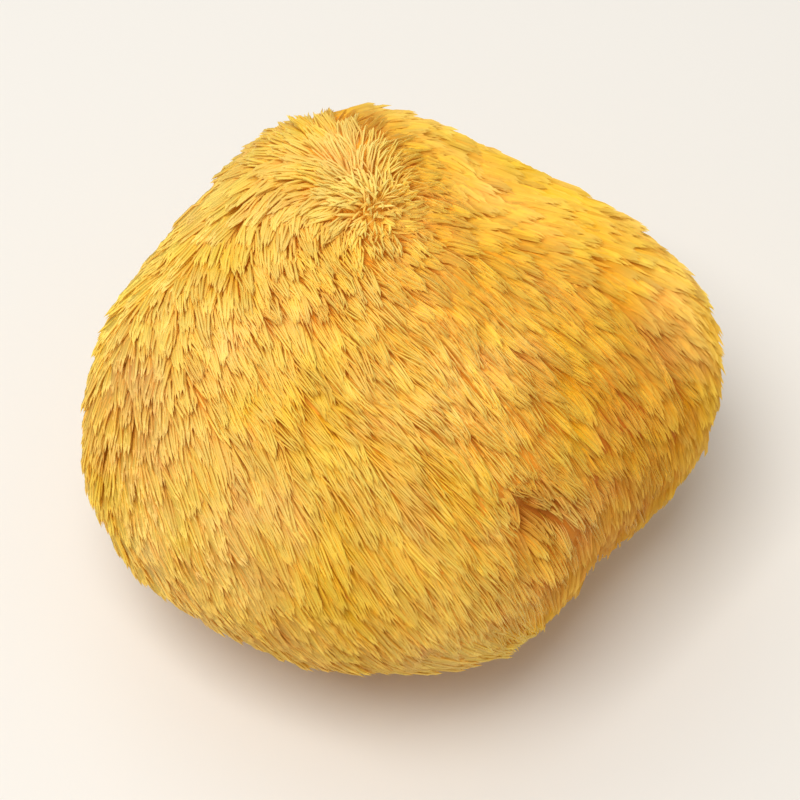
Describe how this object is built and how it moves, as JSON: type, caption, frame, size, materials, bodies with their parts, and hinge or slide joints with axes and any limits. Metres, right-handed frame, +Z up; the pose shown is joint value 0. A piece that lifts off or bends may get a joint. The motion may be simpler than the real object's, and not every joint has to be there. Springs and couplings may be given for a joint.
{
  "type": "lions mane mushroom",
  "caption": "Soaked lion's mane mushroom: a lopsided golden dome of fine combed spines spreading from a whorl near its top, with a short stub cut flat underneath.",
  "frame": {"origin": "middle of the flat cut under the stub, where the mushroom grew from its log and where it rests", "axes": "-Z out of the cut face, +Z up through the dome, +X to the wider shouldered side, -Y to the front"},
  "size_m": [0.086, 0.082, 0.057],
  "materials": {
    "spines": "soft, damp, low sheen",
    "flesh": "damp, matt, fibrous",
    "cut_face": "damp, matt, fibrous"
  },
  "bodies": {
    "root": {"fruiting_body": "spines"}
  },
  "joints": []
}
